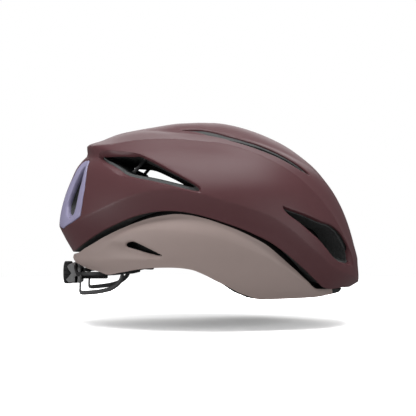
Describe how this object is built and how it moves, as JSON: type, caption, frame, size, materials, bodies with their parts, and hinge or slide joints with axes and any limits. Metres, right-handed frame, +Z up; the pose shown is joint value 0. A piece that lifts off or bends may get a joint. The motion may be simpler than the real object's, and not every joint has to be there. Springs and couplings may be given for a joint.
{
  "type": "road bike helmet",
  "caption": "Road bike helmet with a ball-and-socket slip layer between upper and lower halves, vents, rear ports, pads and a dial-adjusted rear cradle.",
  "frame": {"origin": "centre of the helmet's footprint on the floor, in the middle plane, below the slip layer's ball centre", "axes": "+X towards the wearer's front, +Y towards the wearer's left, +Z up"},
  "size_m": [0.275, 0.2092, 0.1566],
  "materials": {
    "upper_skin": "soft satin burgundy film",
    "foam": "black expanded bead foam",
    "port_bezel": "satin grey purple",
    "inner_frame": "black nylon",
    "slip_elastomer": "dark grey elastomer",
    "lower_skin": "matt taupe film",
    "pad_fabric": "black knitted pad cover",
    "black_nylon": "black moulded nylon",
    "screw_steel": "blackened steel",
    "housing_grey": "grey moulded nylon",
    "dial_rubber": "dark grey rubber",
    "gear_plastic": "off-white acetal",
    "lower_rail": "black moulded nylon"
  },
  "bodies": {
    "inner": {"inner_liner": "foam", "lower_shell": "lower_skin", "brow_pad": "pad_fabric", "crown_pad_right": "pad_fabric", "crown_pad_left": "pad_fabric", "side_pad_right": "pad_fabric", "side_pad_left": "pad_fabric", "strap_anchors": "black_nylon", "temple_strip_right": "black_nylon", "temple_strip_left": "black_nylon", "temple_pins": "black_nylon", "height_rail": "black_nylon", "rail_screws": "screw_steel"},
    "tethers": {"slip_tethers": "slip_elastomer"},
    "outer": {"outer_shell": "upper_skin", "outer_liner": "foam", "bezel_right": "port_bezel", "bezel_left": "port_bezel", "slot_bridges": "inner_frame", "vent_struts": "inner_frame"},
    "cradle": {"height_stem": "black_nylon", "housing_base": "housing_grey", "housing_cover": "housing_grey", "housing_screws": "screw_steel"},
    "dial": {"dial_knob": "dial_rubber", "pinion": "gear_plastic", "dial_screw": "screw_steel"},
    "right_band": {"arm_right": "black_nylon", "lower_rail_right": "lower_rail"},
    "left_band": {"arm_left": "black_nylon", "lower_rail_left": "lower_rail"}
  },
  "joints": [
    {"name": "slip_yaw", "type": "hinge", "parent": "inner", "child": "tethers", "pos_m": [0, 0, 0.033], "axis": [0, 0, 1], "range_deg": [-1.5, 1.5], "stiffness_Nm_per_rad": 5},
    {"name": "slip_pitch", "type": "hinge", "parent": "tethers", "child": "outer", "pos_m": [0, 0, 0.033], "axis": [0, 1, 0], "range_deg": [-0.8, 0.8], "stiffness_Nm_per_rad": 8},
    {"name": "cradle_height", "type": "slide", "parent": "inner", "child": "cradle", "axis": [0, 0, 1], "range_m": [-0.016, 0]},
    {"name": "dial_turn", "type": "hinge", "parent": "cradle", "child": "dial", "pos_m": [-0.13, 0, 0.0185], "axis": [-1, 0, 0], "range_deg": [0, 115]},
    {"name": "right_band_slide", "type": "slide", "parent": "cradle", "child": "right_band", "axis": [0, 1, 0], "range_m": [0, 0.0081]},
    {"name": "left_band_slide", "type": "slide", "parent": "cradle", "child": "left_band", "axis": [0, -1, 0], "range_m": [0, 0.0081]}
  ],
  "couplings": [
    {"joint": "right_band_slide", "follows": "dial_turn", "m_per_rad": 0.004},
    {"joint": "left_band_slide", "follows": "dial_turn", "m_per_rad": 0.004}
  ]
}
